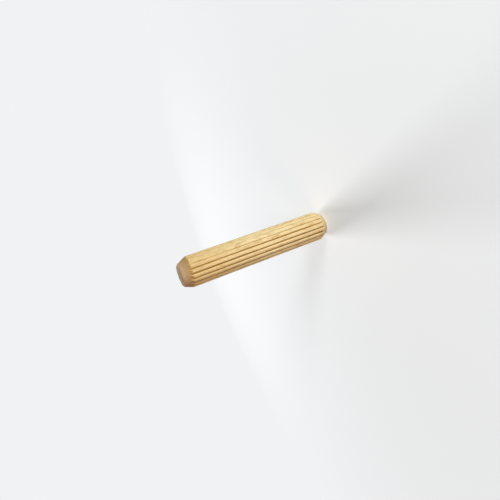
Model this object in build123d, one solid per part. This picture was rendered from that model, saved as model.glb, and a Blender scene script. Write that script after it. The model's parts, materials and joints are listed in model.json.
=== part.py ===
# Fluted wooden dowel pin: one straight rod of hard wood with flutes pressed along it and a chamfer on each end.
# Two boards are drilled to the rod's diameter, and the glued pin is driven half into each.
# The flutes let air and spare glue out of the blind holes.
# The pin stands on its lower end face, with its axis on +Z and the origin at the middle of that face.
# All sizes are in millimetres.
import os
from math import atan2, degrees, pi, radians, sin, tan

from build123d import *

# The rod
DIAMETER = 9.525
LENGTH = 50.8

# The chamfer on each end, and how far its two corners are worn round
CHAMFER_LENGTH = 2.65
CHAMFER_DEPTH = 1.55
SHANK_CORNER_RADIUS = 1.0
END_CORNER_RADIUS = 0.6

# The flutes: narrow V grooves with a rounded root, which run the whole length
FLUTE_COUNT = 19
FLUTE_DEPTH = 0.45
FLUTE_ANGLE = 48.0
FLUTE_ROOT_RADIUS = 0.1
LAND_EDGE_RADIUS = 0.18

# What follows from them
RADIUS = DIAMETER / 2
END_FACE_RADIUS = RADIUS - CHAMFER_DEPTH
PITCH_ANGLE = 360.0 / FLUTE_COUNT


def flute_cutter():
    """The groove's section, with its root towards -X and the middle of its mouth at the sketch's origin.

    It reaches one flute depth outside the rod's surface, so that it clears the curve of the surface.
    """
    half_angle = radians(FLUTE_ANGLE / 2)
    # Rounding the point of a V raises its bottom, so the sharp V is this much deeper than the flute.
    sharp_depth = FLUTE_DEPTH + FLUTE_ROOT_RADIUS * (1 / sin(half_angle) - 1)
    half_width = (sharp_depth + FLUTE_DEPTH) * tan(half_angle)
    with BuildSketch() as cutter:
        with BuildLine():
            Polyline((FLUTE_DEPTH, -half_width), (-sharp_depth, 0), (FLUTE_DEPTH, half_width), close=True)
        make_face()
        fillet(cutter.vertices().sort_by(Axis.X)[0], FLUTE_ROOT_RADIUS)
    return cutter.sketch


def rod_section():
    """The round section with its flutes, and with both edges of every land rounded."""
    with BuildSketch() as section:
        Circle(RADIUS)
        # The middle of a land faces +X. The count is odd, so the middle of a flute faces -X.
        with PolarLocations(RADIUS, FLUTE_COUNT, start_angle=PITCH_ANGLE / 2):
            add(flute_cutter(), mode=Mode.SUBTRACT)
        # The land edges lie on the rod's surface, and every other corner is down in a flute.
        surface = RADIUS - FLUTE_DEPTH / 2
        fillet(section.vertices().filter_by(lambda corner: corner.center().length > surface), LAND_EDGE_RADIUS)
    return section.sketch


def turned_envelope():
    """The smooth shape that the rod's ends are cut to: a cylinder with a chamfer at both ends."""
    with BuildSketch(Plane.XZ) as half:
        with BuildLine():
            Polyline(
                (0, 0),
                (END_FACE_RADIUS, 0),
                (RADIUS, CHAMFER_LENGTH),
                (RADIUS, LENGTH - CHAMFER_LENGTH),
                (END_FACE_RADIUS, LENGTH),
                (0, LENGTH),
                close=True,
            )
        make_face()
        on_axis, end_corners, shank_corners = half.vertices().group_by(Axis.X)
        fillet(end_corners, END_CORNER_RADIUS)
        fillet(half.vertices().group_by(Axis.X)[-1], SHANK_CORNER_RADIUS)
    return revolve(half.sketch, Axis.Z)


def fluted_dowel():
    """The fluted rod, with what lies outside the envelope cut off."""
    return extrude(rod_section(), LENGTH) & turned_envelope()


def shank_length():
    """The straight length between the rounded corners of the two chamfers."""
    corner_angle = atan2(CHAMFER_DEPTH, CHAMFER_LENGTH)
    return LENGTH - 2 * (CHAMFER_LENGTH + SHANK_CORNER_RADIUS * tan(corner_angle / 2))


dowel = fluted_dowel()
dowel.label = "fluted_dowel"

os.makedirs("parts", exist_ok=True)
export_step(dowel, "parts/fluted_dowel.step")

print(f"shank radius {RADIUS:.4f} mm, straight length {shank_length():.3f} mm")
print(f"end face radius {END_FACE_RADIUS:.3f} mm")
print(f"chamfer angle from the axis {degrees(atan2(CHAMFER_DEPTH, CHAMFER_LENGTH)):.1f} degrees")
print(f"flute pitch on the surface {pi * DIAMETER / FLUTE_COUNT:.3f} mm")
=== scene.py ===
# %% [markdown]
# This lesson models a fluted dowel pin, the small grooved peg of pale hard wood that is glued into two
# drilled boards to join them. The real pin is one piece: a rod is drawn through a steel die that presses
# the flutes into it, then it is sawn to length and a cutter chamfers both ends.
# The pin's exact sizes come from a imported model, which is loaded first. The pin that is made here stands
# in the same place, and adds what a machine drawing leaves out: flutes that wander a little, and the wood.

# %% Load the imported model
import json
from math import atan2, cos, degrees, hypot, pi, radians, sin, tan

import bmesh
import bpy
from mathutils import Euler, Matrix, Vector, noise


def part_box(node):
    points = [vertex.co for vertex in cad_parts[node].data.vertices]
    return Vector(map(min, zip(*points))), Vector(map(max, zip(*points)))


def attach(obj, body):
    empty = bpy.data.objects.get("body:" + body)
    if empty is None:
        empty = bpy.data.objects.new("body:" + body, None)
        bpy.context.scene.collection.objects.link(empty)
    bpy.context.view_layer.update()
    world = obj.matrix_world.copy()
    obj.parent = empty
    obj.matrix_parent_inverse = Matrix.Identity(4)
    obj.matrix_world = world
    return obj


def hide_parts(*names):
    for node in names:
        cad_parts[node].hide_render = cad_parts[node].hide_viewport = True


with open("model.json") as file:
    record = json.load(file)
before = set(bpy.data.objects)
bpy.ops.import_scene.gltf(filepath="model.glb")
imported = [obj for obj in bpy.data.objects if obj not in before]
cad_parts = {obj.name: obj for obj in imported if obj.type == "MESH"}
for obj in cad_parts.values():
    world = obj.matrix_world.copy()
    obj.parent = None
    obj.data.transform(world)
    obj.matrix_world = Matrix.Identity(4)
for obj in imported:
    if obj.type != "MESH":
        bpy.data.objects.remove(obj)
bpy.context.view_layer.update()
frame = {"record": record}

# %% [markdown]
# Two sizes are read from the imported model: the radius of the shank, which is the part that a drilled hole
# grips, and the length, which is the top of the model's box. Blender works in metres, so a millimetre is a
# value here.

# %% Size of the rod
MM = 0.001
shank = next(mount for mount in frame["record"]["mounts"] if mount["name"] == "shank")
RADIUS = shank["dims"]["r_mm"] * MM
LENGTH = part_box("fluted_dowel")[1].z
print(f"rod {2 * RADIUS / MM:.3f} mm wide and {LENGTH / MM:.1f} mm long")

# %% [markdown]
# An operator acts on all that is selected, so a selection that is left over from the step before spoils
# the next one. These helpers clear it, and select points or edges in edit mode by a test of where they
# are. Points that should lie on one line are never exactly there, so lengths are compared to within a
# micrometre.

# %% Helpers for edit mode
TOUCH = 0.001 * MM


def start_fresh():
    """Leaves nothing selected, so that the next operator acts only on what it is meant to."""
    if bpy.context.object and bpy.context.object.mode != "OBJECT":
        bpy.ops.object.mode_set(mode="OBJECT")
    bpy.ops.object.select_all(action="DESELECT")


def select(piece, vertex_wanted=None, edge_wanted=None):
    """In edit mode, selects the vertices or the edges that a test is true for."""
    shape = bmesh.from_edit_mesh(piece.data)
    for part in (*shape.verts, *shape.edges, *shape.faces):
        part.select_set(False)
    if vertex_wanted:
        for vertex in shape.verts:
            vertex.select_set(vertex_wanted(vertex.co))
    if edge_wanted:
        for edge in shape.edges:
            edge.select_set(edge_wanted(edge.verts[0].co, edge.verts[1].co))
    bmesh.update_edit_mesh(piece.data)


def near(a, b):
    """True for two lengths that differ by less than a micrometre."""
    return abs(a - b) < TOUCH


# %% [markdown]
# A turned shape starts as half of its outline. By hand, a plane is merged to one point at the middle of
# the end face, and that point is extruded from corner to corner: along the end face, up the chamfer, along
# the shank and in again. A curve could hold the outline too, but a chain of points can be bevelled and
# subdivided at once.
# On this pin the upper end is the more knocked one. Its face is drawn a little wider, because its edge is
# rounded further in the next step.

# %% Draw half of the outline
CHAMFER_LENGTH = 2.65 * MM
CHAMFER_DEPTH = 1.55 * MM
WORN_END_DEPTH = 1.4 * MM
LOWER_FACE_RADIUS = RADIUS - CHAMFER_DEPTH
UPPER_FACE_RADIUS = RADIUS - WORN_END_DEPTH

start_fresh()
bpy.ops.mesh.primitive_plane_add(size=RADIUS)
pin = bpy.context.object
pin.name = "fluted_dowel_pin"
bpy.ops.object.mode_set(mode="EDIT")
bpy.ops.mesh.select_mode(type="VERT")
bpy.ops.mesh.merge(type="CENTER")

corners = [
    (0, 0),
    (LOWER_FACE_RADIUS, 0),
    (RADIUS, CHAMFER_LENGTH),
    (RADIUS, LENGTH - CHAMFER_LENGTH),
    (UPPER_FACE_RADIUS, LENGTH),
    (0, LENGTH),
]
for (x, z), (next_x, next_z) in zip(corners, corners[1:]):
    bpy.ops.mesh.extrude_vertices_move(TRANSFORM_OT_translate={"value": (next_x - x, 0, next_z - z)})
print("outline corners:", len(bmesh.from_edit_mesh(pin.data).verts))

# %% [markdown]
# The cutter leaves no sharp edge on wood, so the outline's four corners are rounded. Bevelling the
# vertices of a chain does that. The bevel asks how far it may reach along each side, which follows from
# the radius and from how far the outline turns at the corner. The worn upper edge has a larger radius than
# the lower one.

# %% Round the outline's corners
SHANK_CORNER_RADIUS = 1.0 * MM
END_CORNER_RADIUS = 0.6 * MM
WORN_END_RADIUS = 0.9 * MM
SHANK_CORNER_SEGMENTS = 10
END_CORNER_SEGMENTS = 6
chamfer_turn = atan2(CHAMFER_DEPTH, CHAMFER_LENGTH)
end_turn = pi / 2 - chamfer_turn


def round_corners(corner_wanted, radius, turn, segments):
    """Rounds the outline's corners that a test is true for, and returns the bevel's reach."""
    reach = radius * tan(turn / 2)
    select(pin, vertex_wanted=corner_wanted)
    bpy.ops.mesh.bevel(offset=reach, segments=segments, affect="VERTICES")
    return reach


def at_shank(co):
    return near(co.x, RADIUS)


def at_lower_face(co):
    return near(co.x, LOWER_FACE_RADIUS) and near(co.z, 0)


def at_upper_face(co):
    return near(co.x, UPPER_FACE_RADIUS)


shank_reach = round_corners(at_shank, SHANK_CORNER_RADIUS, chamfer_turn, SHANK_CORNER_SEGMENTS)
end_reach = round_corners(at_lower_face, END_CORNER_RADIUS, end_turn, END_CORNER_SEGMENTS)
worn_reach = round_corners(at_upper_face, WORN_END_RADIUS, end_turn, END_CORNER_SEGMENTS)
for name, reach in (("shank", shank_reach), ("end", end_reach), ("worn end", worn_reach)):
    print(f"bevel reach at the {name}: {reach / MM:.3f} mm")

# %% [markdown]
# The flutes are narrow grooves that run the whole length of the pin, nineteen of them. They let air and
# spare glue out of the hole as the pin is driven in. The edges between them are rounder than a drawing
# would have them, because the wood springs back and flows over the tooth of the die.

# %% Sizes of the flutes
FLUTE_COUNT = 19
FLUTE_DEPTH = 0.45 * MM
FLUTE_ANGLE = radians(48)
FLUTE_ROOT_RADIUS = 0.1 * MM
LAND_EDGE_RADIUS = 0.55 * MM
PITCH = 2 * pi / FLUTE_COUNT
print(f"{FLUTE_COUNT} flutes, {RADIUS * PITCH / MM:.3f} mm apart on the surface")

# %% [markdown]
# The outline needs points along the shank for the flutes to wander by, and close ones where each flute
# runs out on the chamfer. So both chamfers are cut where the deepest flute ends, and then each stretch is
# subdivided.

# %% Divide the outline
RUN_OUT_STEPS = 12
CONE_STEPS = 8
SHANK_STEPS = 100
END_STEPS = 10
DEEPEST_FLUTE = 1.25 * FLUTE_DEPTH
run_out = CHAMFER_LENGTH - DEEPEST_FLUTE / tan(chamfer_turn)
corner_start = CHAMFER_LENGTH - shank_reach * cos(chamfer_turn)


def divide(edge_wanted, steps):
    """Divides the edges that a test is true for into equal steps."""
    select(pin, edge_wanted=edge_wanted)
    bpy.ops.mesh.subdivide(number_cuts=steps - 1)


def on_end_face(a, b):
    return near(a.z, b.z) and abs(a.x - b.x) > LOWER_FACE_RADIUS / 2


def on_shank(a, b):
    return near(a.x, b.x) and abs(a.z - b.z) > LENGTH / 2


def on_chamfer(a, b, low, high):
    """True for a long edge of a chamfer that lies between two distances from its end of the pin."""
    heights = [min(point.z, LENGTH - point.z) for point in (a, b)]
    is_long = abs(a.z - b.z) > CHAMFER_LENGTH / 5
    is_between = min(heights) > low - TOUCH and max(heights) < high + TOUCH
    return is_long and is_between and not near(a.x, b.x)


divide(on_end_face, END_STEPS)
divide(on_shank, SHANK_STEPS)
for height in (run_out, LENGTH - run_out):
    bpy.ops.mesh.select_all(action="SELECT")
    bpy.ops.mesh.bisect(plane_co=(0, 0, height), plane_no=(0, 0, 1))
divide(lambda a, b: on_chamfer(a, b, run_out, corner_start), RUN_OUT_STEPS)
divide(lambda a, b: on_chamfer(a, b, 0, run_out), CONE_STEPS)
print("outline points:", len(bmesh.from_edit_mesh(pin.data).verts))

# %% [markdown]
# One land and its flute are modelled once and then copied round, because all of them are pressed by like
# teeth of one die. Spinning the outline through a single pitch makes a slice of the pin, like a slice of
# cake, with the middle of a land at each side of it and the place for one flute in between. The spin
# leaves a point on the axis for each of its steps, and these are merged. Then the slice's place tells
# which way round the spin went.

# %% Spin the outline into a slice
COLUMNS = 24
WELD = 0.0005 * MM
bpy.ops.mesh.select_all(action="SELECT")
bpy.ops.mesh.spin(steps=COLUMNS, angle=PITCH, center=(0, 0, 0), axis=(0, 0, 1))
bpy.ops.mesh.select_all(action="SELECT")
bpy.ops.mesh.remove_doubles(threshold=WELD)
shape = bmesh.from_edit_mesh(pin.data)
farthest = max(vertex.co.y for vertex in shape.verts)
way_round = 1 if farthest > RADIUS * sin(PITCH) / 2 else -1
print("slice points:", len(shape.verts), "and it turns", "left" if way_round > 0 else "right")

# %% [markdown]
# The flute's section is a V with a rounded root, and the edges of the lands are rounded. Seen from the
# pin's axis, the section is a radius for each angle: on the root's circle, then on the straight flank,
# then on the circle of the land's edge, and then on the rod itself. The edge's circle touches the flank
# and the rod, so its centre lies beside the flank by one edge radius, and inside the rod by as much.

# %% Work out the flute's section
half_angle = FLUTE_ANGLE / 2
apex = RADIUS - FLUTE_DEPTH - FLUTE_ROOT_RADIUS * (1 / sin(half_angle) - 1)
root_centre = apex + FLUTE_ROOT_RADIUS / sin(half_angle)
into_wood = Vector((-sin(half_angle), cos(half_angle)))
up_flank = Vector((cos(half_angle), sin(half_angle)))
beside_flank = Vector((apex, 0)) + LAND_EDGE_RADIUS * into_wood
edge_distance = RADIUS - LAND_EDGE_RADIUS
nearest = beside_flank.dot(up_flank)
along_flank = (nearest**2 - beside_flank.length_squared + edge_distance**2) ** 0.5 - nearest
edge_centre = beside_flank + along_flank * up_flank
edge_angle = atan2(edge_centre.y, edge_centre.x)
flank_start = Vector((root_centre, 0)) + FLUTE_ROOT_RADIUS * into_wood
flank_end = edge_centre - LAND_EDGE_RADIUS * into_wood


def section_radius(offset):
    """How far the pressed surface is from the pin's axis, at an angle from the middle of the flute."""
    offset = abs(offset)
    if offset < atan2(flank_start.y, flank_start.x):
        reach = (FLUTE_ROOT_RADIUS**2 - (root_centre * sin(offset)) ** 2) ** 0.5
        return root_centre * cos(offset) - reach
    if offset < atan2(flank_end.y, flank_end.x):
        return apex * sin(half_angle) / sin(half_angle - offset)
    if offset < edge_angle:
        from_edge = offset - edge_angle
        reach = (LAND_EDGE_RADIUS**2 - (edge_distance * sin(from_edge)) ** 2) ** 0.5
        return edge_distance * cos(from_edge) + reach
    return RADIUS


print("flute section, degrees and depth in mm:")
for step in range(8):
    offset = step * PITCH / COLUMNS
    print(f"  {degrees(offset):.2f}  {(RADIUS - section_radius(offset)) / MM:.3f}")

# %% [markdown]
# Pressing the flute is scaling towards the pin's axis: each column of points in the slice is brought in to
# the section's radius. Only what stands outside that radius moves, ring by ring, so the flute runs out by
# itself where the chamfer has already come in further. That gives the pointed scallops round the
# chamfer's edge.

# %% Press the flute into the slice
def press(column):
    """Scales what stands outside the flute's section, in one column of the slice, in to it."""
    angle = way_round * column * PITCH / COLUMNS
    target = section_radius((column - COLUMNS / 2) * PITCH / COLUMNS)

    def in_column(point):
        return point.x > 0 and abs(atan2(point.y, point.x) - angle) < PITCH / COLUMNS / 4

    shape = bmesh.from_edit_mesh(pin.data)
    standing = {round(hypot(v.co.x, v.co.y), 8) for v in shape.verts if in_column(v.co)}
    for radius in sorted(r for r in standing if r > target + WELD):
        select(pin, vertex_wanted=lambda co: in_column(co) and near(hypot(co.x, co.y), radius))
        factor = target / radius
        bpy.ops.transform.resize(value=(factor, factor, 1), center_override=(0, 0, 0))


for column in range(COLUMNS + 1):
    if section_radius((column - COLUMNS / 2) * PITCH / COLUMNS) < RADIUS - WELD:
        press(column)
shape = bmesh.from_edit_mesh(pin.data)
inmost = min(hypot(v.co.x, v.co.y) for v in shape.verts if near(v.co.z, LENGTH / 2))
print(f"deepest at mid-length: {(RADIUS - inmost) / MM:.3f} mm")

# %% [markdown]
# The slice is copied round the axis, one copy for each flute, and the copies are welded where they meet.
# The original is the first of them, so the spin makes one fewer and turns a pitch less than a full circle.
# A spin can turn faces inside out, so all of them are made to look outwards once the shell is whole.

# %% Spin the slice round
bpy.ops.mesh.select_all(action="SELECT")
bpy.ops.mesh.spin(
    steps=FLUTE_COUNT - 1, dupli=True, angle=2 * pi - PITCH, center=(0, 0, 0), axis=(0, 0, 1)
)
bpy.ops.mesh.select_all(action="SELECT")
bpy.ops.mesh.remove_doubles(threshold=WELD)
bpy.ops.mesh.normals_make_consistent(inside=False)
bpy.ops.object.mode_set(mode="OBJECT")
check = bmesh.new()
check.from_mesh(pin.data)
open_edges = sum(len(edge.link_faces) != 2 for edge in check.edges)
volume = check.calc_volume() / MM**3
print("faces:", len(check.faces), "open edges:", open_edges, "volume mm3:", round(volume, 1))
check.free()

# %% [markdown]
# Wood isn't steel, so no two flutes are quite alike. The rod sat a little off centre in the die, so the
# flutes are shallower on one side, and there one tooth hardly bit towards the upper end. Hard and soft
# grain give way differently, the flutes drift and bow a little along the rod, and the surface has faint
# waves. No operator does all that, so the points are moved in code, by smooth noise that is the same each
# run. The waves only go inwards, so the pin still fits its hole.

# %% Make the flutes as uneven as pressed wood
DEPTH_CHANGE = 0.34
SHALLOW_SIDE = radians(-25)
ECCENTRIC = 0.18
MISSED_SIDE = radians(-46)
MISSED_NARROWNESS = 20
MISSED = 0.65
DRIFT = radians(0.3)
BOW = radians(-1.2)
BOW_MIDDLE = 0.55
SURFACE_WAVE = 0.012 * MM


def smooth_noise(angle, height, across, along_pin, place):
    """Noise from -1 to 1 on the pin's surface, which meets itself where the pin's angle comes round."""
    point = Vector((across * cos(angle), across * sin(angle), along_pin * height / MM + place))
    return noise.noise(point)


def flute_share(angle, height):
    """How deep a flute is pressed at a place, as a share of its depth in the drawing."""
    share = 1 + DEPTH_CHANGE * smooth_noise(angle, height, across=4, along_pin=0.04, place=126)
    share -= ECCENTRIC * cos(angle - SHALLOW_SIDE)
    missed = max(0, cos(angle - MISSED_SIDE)) ** MISSED_NARROWNESS
    missed *= (height / LENGTH + 1) / 2
    return share * (1 - MISSED * missed)


def stray(angle, height):
    """How far round the pin a flute has strayed at a place."""
    drift = DRIFT * smooth_noise(angle, height, across=0.8, along_pin=0.06, place=11.1)
    from_middle = height / LENGTH - BOW_MIDDLE
    return drift + BOW * (2 * from_middle) ** 2


envelope = {}
for vertex in pin.data.vertices:
    level = round(vertex.co.z / MM, 3)
    envelope[level] = max(envelope.get(level, 0), hypot(vertex.co.x, vertex.co.y))

depths = []
for vertex in pin.data.vertices:
    radius = hypot(vertex.co.x, vertex.co.y)
    depth = 0
    if radius > LOWER_FACE_RADIUS:
        angle = atan2(vertex.co.y, vertex.co.x)
        height = vertex.co.z
        outside = envelope[round(height / MM, 3)]
        depth = (outside - radius) * flute_share(angle, height)
        wave = SURFACE_WAVE * abs(smooth_noise(angle, height, across=3, along_pin=0.35, place=21.3))
        radius = outside - depth - wave
        angle += stray(angle, height)
        vertex.co.x = radius * cos(angle)
        vertex.co.y = radius * sin(angle)
    depths.append(depth)
print(f"deepest flute now: {max(depths) / MM:.3f} mm")

# %% [markdown]
# The ends were chamfered in a machine that held the rod loosely. The cutter bit deeper into the upper end
# than into the lower one, more so on one side, and at the upper end it ran off centre. All that is a
# smooth shift of the points: the whole shank slides down a little between the two end faces, which stay
# where they are, and the upper face slides sideways.

# %% Cut the chamfers a little askew
CUTTER_OFFSET = -0.3 * MM
CUTTER_REACH = 0.36 * MM
CUTTER_TILT = 0.4

for vertex in pin.data.vertices:
    angle = atan2(vertex.co.y, vertex.co.x)
    from_lower = vertex.co.z / CHAMFER_LENGTH
    from_upper = (LENGTH - vertex.co.z) / CHAMFER_LENGTH
    reach = CUTTER_REACH * (1 + CUTTER_TILT * cos(angle))
    vertex.co.x += CUTTER_OFFSET * max(0, 1 - from_upper)
    vertex.co.z -= reach * min(1, from_lower, from_upper)
for name, length in (("upper", CHAMFER_LENGTH + CUTTER_REACH), ("lower", CHAMFER_LENGTH - CUTTER_REACH)):
    print(f"mean length of the {name} chamfer: {length / MM:.2f} mm")

# %% [markdown]
# The materials need to know where the die pressed. Wood that is squeezed into a groove is darker and
# browner, and the same number also paints shade into the grooves. That is kept as a number on each point,
# from 0 on a land to 1 at a flute's root. Then the faces are shaded smooth, apart from where two of them
# meet at a real edge.

# %% Keep where the wood is pressed
SHARP_EDGE = radians(35)
pressed = [min(1, depth / FLUTE_DEPTH) for depth in depths]
mark = pin.data.attributes.new("pressed", "FLOAT", "POINT")
mark.data.foreach_set("value", pressed)

start_fresh()
pin.select_set(True)
bpy.context.view_layer.objects.active = pin
bpy.ops.object.shade_smooth_by_angle(angle=SHARP_EDGE)
print("triangles:", sum(len(face.vertices) - 2 for face in pin.data.polygons))

# %% [markdown]
# Wood looks like wood because its pattern runs through the whole block. So each pattern here is solid: it
# reads the object's own coordinates, long in the direction of the fibres and short across them. On the
# shank it shows as streaks, and on a cut end, without another texture, as dots and arcs. Patterns that
# several finishes share are node groups, each made once. These helpers add a node, join it up and return
# its output.

# %% Helpers for nodes
def add_node(tree, kind, **values):
    """Adds a node and sets its properties and its inputs by name."""
    node = tree.nodes.new(kind)
    for name, value in values.items():
        if name in node.inputs:
            node.inputs[name].default_value = value
        else:
            setattr(node, name, value)
    return node


def feed(tree, socket, value):
    """Links a socket to another node's output, or sets it to a plain value."""
    if hasattr(value, "is_linked"):
        tree.links.new(value, socket)
    else:
        socket.default_value = value


def math_node(tree, operation, first, second=0.0):
    node = add_node(tree, "ShaderNodeMath", operation=operation)
    feed(tree, node.inputs[0], first)
    feed(tree, node.inputs[1], second)
    return node.outputs[0]


def vector_node(tree, operation, vector, second):
    node = add_node(tree, "ShaderNodeVectorMath", operation=operation)
    feed(tree, node.inputs[0], vector)
    feed(tree, node.inputs[1], second)
    return node.outputs[0]


def scale_vector(tree, vector, factor):
    node = add_node(tree, "ShaderNodeVectorMath", operation="SCALE")
    feed(tree, node.inputs[0], vector)
    feed(tree, node.inputs["Scale"], factor)
    return node.outputs[0]


def length_of(tree, vector):
    node = add_node(tree, "ShaderNodeVectorMath", operation="LENGTH")
    feed(tree, node.inputs[0], vector)
    return node.outputs["Value"]


def mix_colour(tree, share, first, second):
    node = add_node(tree, "ShaderNodeMix", data_type="RGBA")
    feed(tree, node.inputs["Factor"], share)
    feed(tree, node.inputs[6], first)
    feed(tree, node.inputs[7], second)
    return node.outputs[2]


def remap(tree, value, low, high, to_low=0.0, to_high=1.0):
    """Maps the range of a value to another range, and holds it at both ends."""
    node = add_node(tree, "ShaderNodeMapRange")
    feed(tree, node.inputs["Value"], value)
    feed(tree, node.inputs["From Min"], low)
    feed(tree, node.inputs["From Max"], high)
    feed(tree, node.inputs["To Min"], to_low)
    feed(tree, node.inputs["To Max"], to_high)
    return node.outputs["Result"]


def noise_on(tree, vector, detail, scale=1.0, roughness=0.5):
    node = add_node(tree, "ShaderNodeTexNoise", Detail=detail, Scale=scale, Roughness=roughness)
    feed(tree, node.inputs["Vector"], vector)
    return node.outputs["Fac"]


def along_fibres(tree, vector, across, along_pin):
    """Scales a vector in millimetres so that a pattern on it is short across the fibres and long along."""
    return vector_node(tree, "MULTIPLY", vector, (across, across, along_pin))


def new_group(name, inputs, outputs):
    """A node group with float inputs, each with its usual value, and a vector input called Vector."""
    group = bpy.data.node_groups.new(name, "ShaderNodeTree")
    group.interface.new_socket("Vector", in_out="INPUT", socket_type="NodeSocketVector")
    for socket_name, usual in inputs.items():
        socket = group.interface.new_socket(socket_name, in_out="INPUT", socket_type="NodeSocketFloat")
        socket.default_value = usual
    for socket_name in outputs:
        group.interface.new_socket(socket_name, in_out="OUTPUT", socket_type="NodeSocketFloat")
    start = add_node(group, "NodeGroupInput")
    end = add_node(group, "NodeGroupOutput")
    return group, start, end


# %% [markdown]
# Growth rings: the rod was split from a trunk far wider than itself, so it only holds short arcs of the
# rings. The pith is set well off to one side. The distance from it, bent a little by noise, counts the
# years, and the late wood of each year is a narrow darker line, which grows in over the year and is gone
# early in the next one.

# %% Growth rings
TO_PITH = (17.0, 31.0, 0.0)
LATE_WOOD_SHARPNESS = 5.0
LATE_WOOD_GONE = 0.12


def make_growth_rings():
    group, start, end = new_group("growth_rings", {"Spacing": 1.7, "Bend": 0.5}, ["Late Wood"])
    vector = start.outputs["Vector"]
    from_pith = vector_node(group, "ADD", vector, TO_PITH)
    across_trunk = length_of(group, vector_node(group, "MULTIPLY", from_pith, (1.0, 1.0, 0.0)))
    bend = noise_on(group, along_fibres(group, vector, 0.16, 0.02), detail=1.0)
    bend = math_node(group, "MULTIPLY", math_node(group, "SUBTRACT", bend, 0.5), start.outputs["Bend"])
    years = math_node(group, "DIVIDE", across_trunk, start.outputs["Spacing"])
    season = math_node(group, "FRACT", math_node(group, "ADD", years, bend))
    late = math_node(group, "POWER", season, LATE_WOOD_SHARPNESS)
    last_year = remap(group, season, 0.0, LATE_WOOD_GONE, 1.0, 0.0)
    group.links.new(math_node(group, "MAXIMUM", late, last_year), end.inputs["Late Wood"])
    return group


growth_rings = make_growth_rings()
print("growth rings group:", len(growth_rings.nodes), "nodes")

# %% [markdown]
# Fibres: broad and fine streaks run the length of the rod, with short flecks among them where the grain
# dips under the surface. All three are noise that is stretched along the pin, by different amounts.

# %% Fibres
def make_fibres():
    group, start, end = new_group("fibres", {"Fineness": 5.0}, ["Streak", "Fine Streak", "Fleck"])
    vector = start.outputs["Vector"]
    short = along_fibres(group, vector, 1.6, 0.35)
    fleck = noise_on(group, short, detail=2.5, roughness=0.65)
    group.links.new(fleck, end.inputs["Fleck"])
    coarse = along_fibres(group, vector, 1.0, 0.035)
    streak = noise_on(group, coarse, detail=3.0, scale=1.4)
    group.links.new(streak, end.inputs["Streak"])
    thin = scale_vector(group, coarse, start.outputs["Fineness"])
    fine_streak = noise_on(group, thin, detail=3.0, roughness=0.6)
    group.links.new(fine_streak, end.inputs["Fine Streak"])
    return group


fibres = make_fibres()
print("fibres group:", len(fibres.nodes), "nodes")

# %% [markdown]
# Pores: between the fibres are the open vessels of the wood, which show as short dark scratches along the
# grain and as pin-pricks on a cut end. A cell pattern gives one vessel to a cell, and the cell's own
# random colour decides which vessels are open.

# %% Pores
def make_pores():
    group, start, end = new_group("pores", {"Size": 0.2, "Number": 0.5}, ["Pore"])
    cells = add_node(group, "ShaderNodeTexVoronoi", feature="F1", Scale=1.0)
    group.links.new(along_fibres(group, start.outputs["Vector"], 4.5, 0.55), cells.inputs["Vector"])
    vessel = remap(group, cells.outputs["Distance"], start.outputs["Size"], 0.0)
    cell_colour = add_node(group, "ShaderNodeSeparateColor")
    group.links.new(cells.outputs["Color"], cell_colour.inputs[0])
    is_open = math_node(group, "LESS_THAN", cell_colour.outputs[0], start.outputs["Number"])
    group.links.new(math_node(group, "MULTIPLY", vessel, is_open), end.inputs["Pore"])
    return group


pores = make_pores()
print("pores group:", len(pores.nodes), "nodes")

# %% [markdown]
# The finishes differ in how the same wood was cut. On the lands the fibres lie in the surface, so it is
# pale and has a dull gloss. In the flutes they are crushed together, which makes them browner, and the
# flutes' colour also carries painted shade. On the chamfers and the ends the cutter went across the fibres,
# and their open ends swallow the light. So the finishes share one start: a wood shader, the three patterns
# at the same place, and a bump from the finest of them.

# %% A starting point for every finish
RING_SPACING = 1.7
RING_BEND = 0.6
STREAK_FINENESS = 6.0


def rgb(red, green, blue):
    """A colour as a screen shows it, 0 to 255, for a shader."""
    def linear(value):
        value = value / 255
        return value / 12.92 if value <= 0.04045 else ((value + 0.055) / 1.055) ** 2.4
    return (linear(red), linear(green), linear(blue), 1)


def start_finish(name):
    """A material with a plain wood shader and the object's coordinates in millimetres."""
    material = bpy.data.materials.new(name)
    material.use_nodes = True
    tree = material.node_tree
    tree.nodes.clear()
    shader = add_node(tree, "ShaderNodeBsdfPrincipled")
    out = add_node(tree, "ShaderNodeOutputMaterial")
    tree.links.new(shader.outputs["BSDF"], out.inputs["Surface"])
    place = add_node(tree, "ShaderNodeTexCoord")
    return material, tree, shader, scale_vector(tree, place.outputs["Object"], 1 / MM)


def use_group(tree, group, vector, **values):
    """Places a node group and sets its inputs by name."""
    node = add_node(tree, "ShaderNodeGroup", node_tree=group, **values)
    tree.links.new(vector, node.inputs["Vector"])
    return node.outputs


def wood_patterns(tree, vector, pore_size, pore_number):
    """Places the three shared patterns, and returns the late wood, the streaks by name and the pores."""
    rings = use_group(tree, growth_rings, vector, Spacing=RING_SPACING, Bend=RING_BEND)
    streaks = use_group(tree, fibres, vector, Fineness=STREAK_FINENESS)
    open_pores = use_group(tree, pores, vector, Size=pore_size, Number=pore_number)
    return rings["Late Wood"], streaks, open_pores["Pore"]


def height_on_pin(tree, vector):
    """The height above the pin's lower end, in millimetres."""
    place = add_node(tree, "ShaderNodeSeparateXYZ")
    tree.links.new(vector, place.inputs[0])
    return place.outputs["Z"]


def finish_surface(tree, shader, colour, fine_streak, pore, smooth, rough, depth):
    """Joins up the colour, a roughness that follows the fine streaks, and a bump of streaks and pores."""
    tree.links.new(colour, shader.inputs["Base Color"])
    tree.links.new(remap(tree, fine_streak, 0.3, 0.7, smooth, rough), shader.inputs["Roughness"])
    bump = add_node(tree, "ShaderNodeBump", Strength=1.0, Distance=depth)
    tree.links.new(math_node(tree, "SUBTRACT", fine_streak, pore), bump.inputs["Height"])
    tree.links.new(bump.outputs["Normal"], shader.inputs["Normal"])


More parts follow.
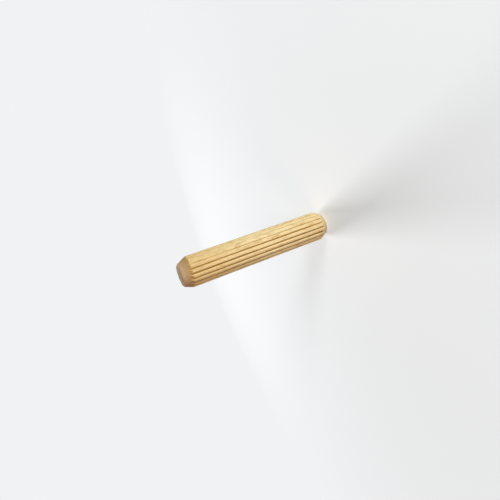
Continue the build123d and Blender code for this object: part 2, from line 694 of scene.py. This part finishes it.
print("ring spacing in mm:", RING_SPACING, "and streak fineness:", STREAK_FINENESS)

# %% [markdown]
# The long grain is most of what is seen. It starts from one pale colour, which is painted darker towards
# the upper end as painted shade. The patterns are laid over it from broad to fine, each as a mix towards
# its own colour, because in wood each of them is a change of the material and not a layer of
# paint. The flutes come last: the number that was kept on the points mixes in the brown of pressed wood,
# which also paints shade into the grooves.

# %% The long grain of the lands and flutes
PALE_WOOD = rgb(253, 238, 192)
# The next colour is painted shade, which darkens the long grain towards the upper end.
UPPER_PAINTED_SHADE = rgb(206, 176, 121)
RING_WOOD = rgb(226, 195, 132)
STREAK_WOOD = rgb(236, 209, 150)
FLECK_WOOD = rgb(202, 164, 100)
# The next colour is the brown of crushed wood and also painted shade in the flutes.
PRESSED_AND_SHADED_WOOD = rgb(168, 130, 52)
PORE_WOOD = rgb(172, 134, 82)
UPPER_SHADE_FROM = 24.0
UPPER_SHADE_TO = 47.0


def make_long_grain():
    material, tree, shader, vector = start_finish("long_grain_wood")
    late_wood, streaks, pore = wood_patterns(tree, vector, pore_size=0.3, pore_number=0.35)
    # Painted shade: the colour darkens towards the upper end of the pin.
    upper_shade = remap(tree, height_on_pin(tree, vector), UPPER_SHADE_FROM, UPPER_SHADE_TO)
    colour = mix_colour(tree, upper_shade, PALE_WOOD, UPPER_PAINTED_SHADE)
    colour = mix_colour(tree, math_node(tree, "MULTIPLY", late_wood, 0.5), colour, RING_WOOD)
    streak = remap(tree, streaks["Streak"], 0.35, 0.7, 0.0, 0.8)
    colour = mix_colour(tree, streak, colour, STREAK_WOOD)
    fine = remap(tree, streaks["Fine Streak"], 0.35, 0.65, 0.0, 0.5)
    colour = mix_colour(tree, fine, colour, STREAK_WOOD)
    fleck = remap(tree, streaks["Fleck"], 0.48, 0.74, 0.0, 0.9)
    colour = mix_colour(tree, fleck, colour, FLECK_WOOD)
    colour = mix_colour(tree, math_node(tree, "MULTIPLY", pore, 0.7), colour, PORE_WOOD)
    # Crushed wood's brown and painted shade, both deeper towards a flute's root.
    mark = add_node(tree, "ShaderNodeAttribute", attribute_name="pressed")
    squeezed_and_shaded = remap(tree, mark.outputs["Fac"], 0.3, 0.9)
    colour = mix_colour(tree, squeezed_and_shaded, colour, PRESSED_AND_SHADED_WOOD)
    shader.inputs["Specular IOR Level"].default_value = 0.2
    fine_streak = streaks["Fine Streak"]
    finish_surface(tree, shader, colour, fine_streak, pore, smooth=0.5, rough=0.66, depth=0.03 * MM)
    return material


long_grain = make_long_grain()
print("long grain:", len(long_grain.node_tree.nodes), "nodes")

# %% [markdown]
# The lower chamfer is painted as pale as the shank, as painted light. The upper one is painted browner,
# as painted shade, and beside the end face it turns into the grey-brown of the end grain. So this finish
# has two pairs of colours, and the height on the pin chooses between them.

# %% The turned chamfers
# The next two colours are painted light: the lower chamfer is drawn as pale as the shank.
CHAMFER_PAINTED_LIGHT = rgb(250, 228, 180)
CHAMFER_PAINTED_LIGHT_DARK = rgb(230, 200, 148)
# The next two colours are painted shade: the upper chamfer is drawn browner.
CHAMFER_PAINTED_SHADE = rgb(185, 150, 98)
CHAMFER_PAINTED_SHADE_DARK = rgb(150, 112, 62)
END_WOOD = rgb(202, 172, 138)
END_DARK = rgb(164, 130, 96)
CHAMFER_PAINTED_SHADE_FROM = 20.0
CHAMFER_PAINTED_SHADE_TO = 30.0
END_TONE_FROM = 48.4
END_TONE_TO = 50.5


def make_chamfer():
    material, tree, shader, vector = start_finish("turned_chamfer_wood")
    late_wood, streaks, pore = wood_patterns(tree, vector, pore_size=0.42, pore_number=0.6)
    height = height_on_pin(tree, vector)
    # Painted shade towards the upper chamfer and painted light at the lower one, chosen by height.
    upper = remap(tree, height, CHAMFER_PAINTED_SHADE_FROM, CHAMFER_PAINTED_SHADE_TO)
    light_wood = mix_colour(tree, upper, CHAMFER_PAINTED_LIGHT, CHAMFER_PAINTED_SHADE)
    dark_wood = mix_colour(tree, upper, CHAMFER_PAINTED_LIGHT_DARK, CHAMFER_PAINTED_SHADE_DARK)
    beside_end = remap(tree, height, END_TONE_FROM, END_TONE_TO)
    light_wood = mix_colour(tree, beside_end, light_wood, END_WOOD)
    dark_wood = mix_colour(tree, beside_end, dark_wood, END_DARK)
    late = math_node(tree, "MULTIPLY", late_wood, 0.5)
    fine_streak = streaks["Fine Streak"]
    fine = remap(tree, fine_streak, 0.35, 0.7, 0.0, 0.5)
    colour = mix_colour(tree, math_node(tree, "MAXIMUM", late, fine), light_wood, dark_wood)
    colour = mix_colour(tree, math_node(tree, "MULTIPLY", pore, 0.5), colour, dark_wood)
    shader.inputs["Specular IOR Level"].default_value = 0.2
    finish_surface(tree, shader, colour, fine_streak, pore, smooth=0.55, rough=0.75, depth=0.02 * MM)
    return material


turned_chamfer = make_chamfer()
print("chamfer:", len(turned_chamfer.node_tree.nodes), "nodes")

# %% [markdown]
# A sawn end shows the fibres end on. The same solid patterns are simply cut across here: the rings become
# arcs and the pores become pin-pricks. End grain has almost no gloss, so its roughness is high and its
# specular level low.

# %% The sawn ends
def make_sawn_end():
    material, tree, shader, vector = start_finish("sawn_end_wood")
    late_wood, streaks, pore = wood_patterns(tree, vector, pore_size=0.45, pore_number=0.7)
    colour = mix_colour(tree, math_node(tree, "MULTIPLY", late_wood, 0.7), END_WOOD, END_DARK)
    fine_streak = streaks["Fine Streak"]
    fine = remap(tree, fine_streak, 0.35, 0.7, 0.0, 0.5)
    colour = mix_colour(tree, fine, colour, END_DARK)
    colour = mix_colour(tree, math_node(tree, "MULTIPLY", pore, 0.7), colour, PORE_WOOD)
    shader.inputs["Specular IOR Level"].default_value = 0.08
    finish_surface(tree, shader, colour, fine_streak, pore, smooth=0.85, rough=1.0, depth=0.03 * MM)
    return material


sawn_end = make_sawn_end()
print("sawn end:", len(sawn_end.node_tree.nodes), "nodes")

# %% [markdown]
# Each face gets the finish of the tool that cut it, which its lean and its place tell. A face that looks
# nearly straight up or down is an end. One near an end that leans at all is a chamfer, and that takes in
# the scallops between the flutes, because a flute's own faces hardly lean along the pin. All others are
# long grain.

# %% Give each face its finish
END_TILT = radians(25)
CHAMFER_ZONE = 1.3 * CHAMFER_LENGTH
LEAST_LEAN = sin(chamfer_turn) / 5
finishes = [long_grain, turned_chamfer, sawn_end]
for material in finishes:
    pin.data.materials.append(material)
LONG_GRAIN, CHAMFER, END = range(3)

counts = [0, 0, 0]
for face in pin.data.polygons:
    from_end = min(face.center.z, LENGTH - face.center.z)
    lean = abs(face.normal.z)
    finish = LONG_GRAIN
    if lean > cos(END_TILT):
        finish = END
    elif from_end < CHAMFER_ZONE and lean > LEAST_LEAN:
        finish = CHAMFER
    face.material_index = finish
    counts[finish] += 1
print("faces of long grain, chamfer and end:", counts)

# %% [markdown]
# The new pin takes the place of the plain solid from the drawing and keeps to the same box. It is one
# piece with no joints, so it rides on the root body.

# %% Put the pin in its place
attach(pin, "root")
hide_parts("fluted_dowel")
print("the visual pin is", pin.name)

# %% [markdown]
# The floor is plain and pale: a wide disc whose rim fades into the colour of the backdrop, so that no
# horizon crosses the picture. Near the pin it is an ordinary surface that takes the pin's shadow, with a
# little glow of its own that lifts the picture. For the light that bounces off it, the floor is darker
# than it looks, because a pale floor would fill the flutes' shadows from below.

# %% Floor
BACKDROP = (0.88, 0.89, 0.9, 1)
FLOOR_PAINT = (0.81, 0.815, 0.83, 1)
FLOOR_GLOW = (0.93, 0.98, 1, 1)
FLOOR_GLOW_STRENGTH = 0.32
BOUNCE_PAINT = (0.2, 0.2, 0.2, 1)
FLOOR_RADIUS = 1.5
FADE_FROM = 40 * MM
FADE_TO = 190 * MM


def mix_shaders(tree, share, first, second):
    node = add_node(tree, "ShaderNodeMixShader")
    tree.links.new(share, node.inputs["Fac"])
    tree.links.new(first.outputs[0], node.inputs[1])
    tree.links.new(second.outputs[0], node.inputs[2])
    return node


def is_looked_at(tree):
    """1 for a ray that shows a surface: from the camera, in a reflection or through glass."""
    path = add_node(tree, "ShaderNodeLightPath")
    either = math_node(tree, "MAXIMUM", path.outputs["Is Camera Ray"], path.outputs["Is Glossy Ray"])
    return math_node(tree, "MAXIMUM", either, path.outputs["Is Transmission Ray"])


def make_floor_material():
    material = bpy.data.materials.new("pale_floor")
    material.use_nodes = True
    tree = material.node_tree
    tree.nodes.clear()
    paint = add_node(tree, "ShaderNodeBsdfDiffuse", Color=FLOOR_PAINT)
    glow = add_node(tree, "ShaderNodeEmission", Color=FLOOR_GLOW, Strength=FLOOR_GLOW_STRENGTH)
    near_pin = add_node(tree, "ShaderNodeAddShader")
    tree.links.new(paint.outputs[0], near_pin.inputs[0])
    tree.links.new(glow.outputs[0], near_pin.inputs[1])
    far_off = add_node(tree, "ShaderNodeEmission", Color=BACKDROP, Strength=1.0)
    place = add_node(tree, "ShaderNodeTexCoord")
    fade = remap(tree, length_of(tree, place.outputs["Object"]), FADE_FROM, FADE_TO)
    shown = mix_shaders(tree, fade, near_pin, far_off)
    bounce = add_node(tree, "ShaderNodeBsdfDiffuse", Color=BOUNCE_PAINT)
    surface = mix_shaders(tree, is_looked_at(tree), bounce, shown)
    out = add_node(tree, "ShaderNodeOutputMaterial")
    tree.links.new(surface.outputs[0], out.inputs["Surface"])
    return material


start_fresh()
bpy.ops.mesh.primitive_circle_add(vertices=96, radius=FLOOR_RADIUS, fill_type="NGON")
floor = bpy.context.object
floor.name = "pale_floor"
floor.data.materials.append(make_floor_material())
print("floor radius in m:", FLOOR_RADIUS)

# %% [markdown]
# The world has two sides too. What the camera sees of it is the backdrop, the same pale colour that the
# floor fades into. What lights the pin is much weaker, and only keeps the shadows from turning black.

# %% World
FILL_LIGHT = 0.07
FILL_COLOUR = (1.0, 0.98, 0.95, 1)

world = bpy.data.worlds.new("studio")
bpy.context.scene.world = world
world.use_nodes = True
tree = world.node_tree
tree.nodes.clear()
light = add_node(tree, "ShaderNodeBackground", Color=FILL_COLOUR, Strength=FILL_LIGHT)
backdrop = add_node(tree, "ShaderNodeBackground", Color=BACKDROP, Strength=1.0)
sky = mix_shaders(tree, is_looked_at(tree), light, backdrop)
out = add_node(tree, "ShaderNodeOutputWorld")
tree.links.new(sky.outputs[0], out.inputs["Surface"])
print("strength of the world's light:", FILL_LIGHT)

# %% [markdown]
# The camera stands where the photograph was taken from: close to the pin and a little above its upper end,
# so the far end looks smaller. The pin lies across the picture there, so the camera is rolled on its side.
# It is aimed so that the middle of the pin falls on its place in the picture, which the lens gives.

# %% Camera
PICTURE = 500
FOCAL_PIXELS = 363.9
SENSOR = 36.0
CAMERA_TURN = radians(-1.8)
CAMERA_HEIGHT = radians(20.1)
CAMERA_ROLL = radians(-109.92)
CAMERA_DISTANCE = 24.18 * RADIUS
PIN_IN_PICTURE = (255.7, 247.7)

start_fresh()
bpy.ops.object.camera_add()
camera = bpy.context.object
camera.name = "camera"
camera.data.sensor_width = SENSOR
camera.data.lens = FOCAL_PIXELS / PICTURE * SENSOR
camera.data.clip_start = 0.001
turned = Euler((pi / 2 - CAMERA_HEIGHT, 0, CAMERA_TURN)).to_matrix()
rolled = turned @ Euler((0, 0, CAMERA_ROLL)).to_matrix()
right, up, back = rolled.col
across = (PIN_IN_PICTURE[0] - PICTURE / 2) / FOCAL_PIXELS * CAMERA_DISTANCE
down = (PIN_IN_PICTURE[1] - PICTURE / 2) / FOCAL_PIXELS * CAMERA_DISTANCE
middle_of_pin = Vector((0, 0, LENGTH / 2))
camera.location = middle_of_pin - across * right + down * up + CAMERA_DISTANCE * back
camera.rotation_euler = rolled.to_euler()
bpy.context.scene.camera = camera
print("lens in mm:", round(camera.data.lens, 2))
print("camera in mm:", [round(x / MM, 1) for x in camera.location])

# %% [markdown]
# Flutes show best when light comes from both sides, because each flank then turns away from one of the
# lamps. The key lamp stands on the side that is the top of the picture. A weaker and warmer one lights the
# other side, and a third stands near the camera and lifts the middle. One more, behind the pin, lights its
# back and its upper end. All of them are low, soft and square.

# %% Lamps
LAMP_DISTANCE = 0.42
LAMP_SIZE = 0.16
WHITE = (1, 1, 1)
WARM = (1, 0.84, 0.77)
WARMER = (1, 0.77, 0.6)
COOL = (0.95, 1, 1)


def add_lamp(name, side, height, level, colour):
    """A square soft lamp that points at the pin. Its level is what a white surface facing it would show."""
    start_fresh()
    turned_by = CAMERA_TURN + side
    direction = Vector((sin(turned_by) * cos(height), -cos(turned_by) * cos(height), sin(height)))
    bpy.ops.object.light_add(type="AREA", location=middle_of_pin + LAMP_DISTANCE * direction)
    lamp = bpy.context.object
    lamp.name = name
    lamp.visible_camera = False
    lamp.data.size = LAMP_SIZE
    lamp.data.color = colour
    lamp.data.energy = level * pi**2 * LAMP_DISTANCE**2
    lamp.rotation_euler = direction.to_track_quat("Z", "Y").to_euler()
    print(f"{name} lamp: {lamp.data.energy:.3f} W")


add_lamp("key", side=radians(42), height=radians(9), level=0.72, colour=COOL)
add_lamp("fill", side=radians(-55), height=radians(9), level=0.17, colour=WARMER)
add_lamp("front", side=radians(-4), height=radians(9), level=0.38, colour=WARM)
add_lamp("back", side=radians(180), height=radians(24), level=0.85, colour=WHITE)

# %% [markdown]
# Colours are shown as they are, without a film look.

# %% Finish
bpy.context.scene.view_settings.view_transform = "Standard"
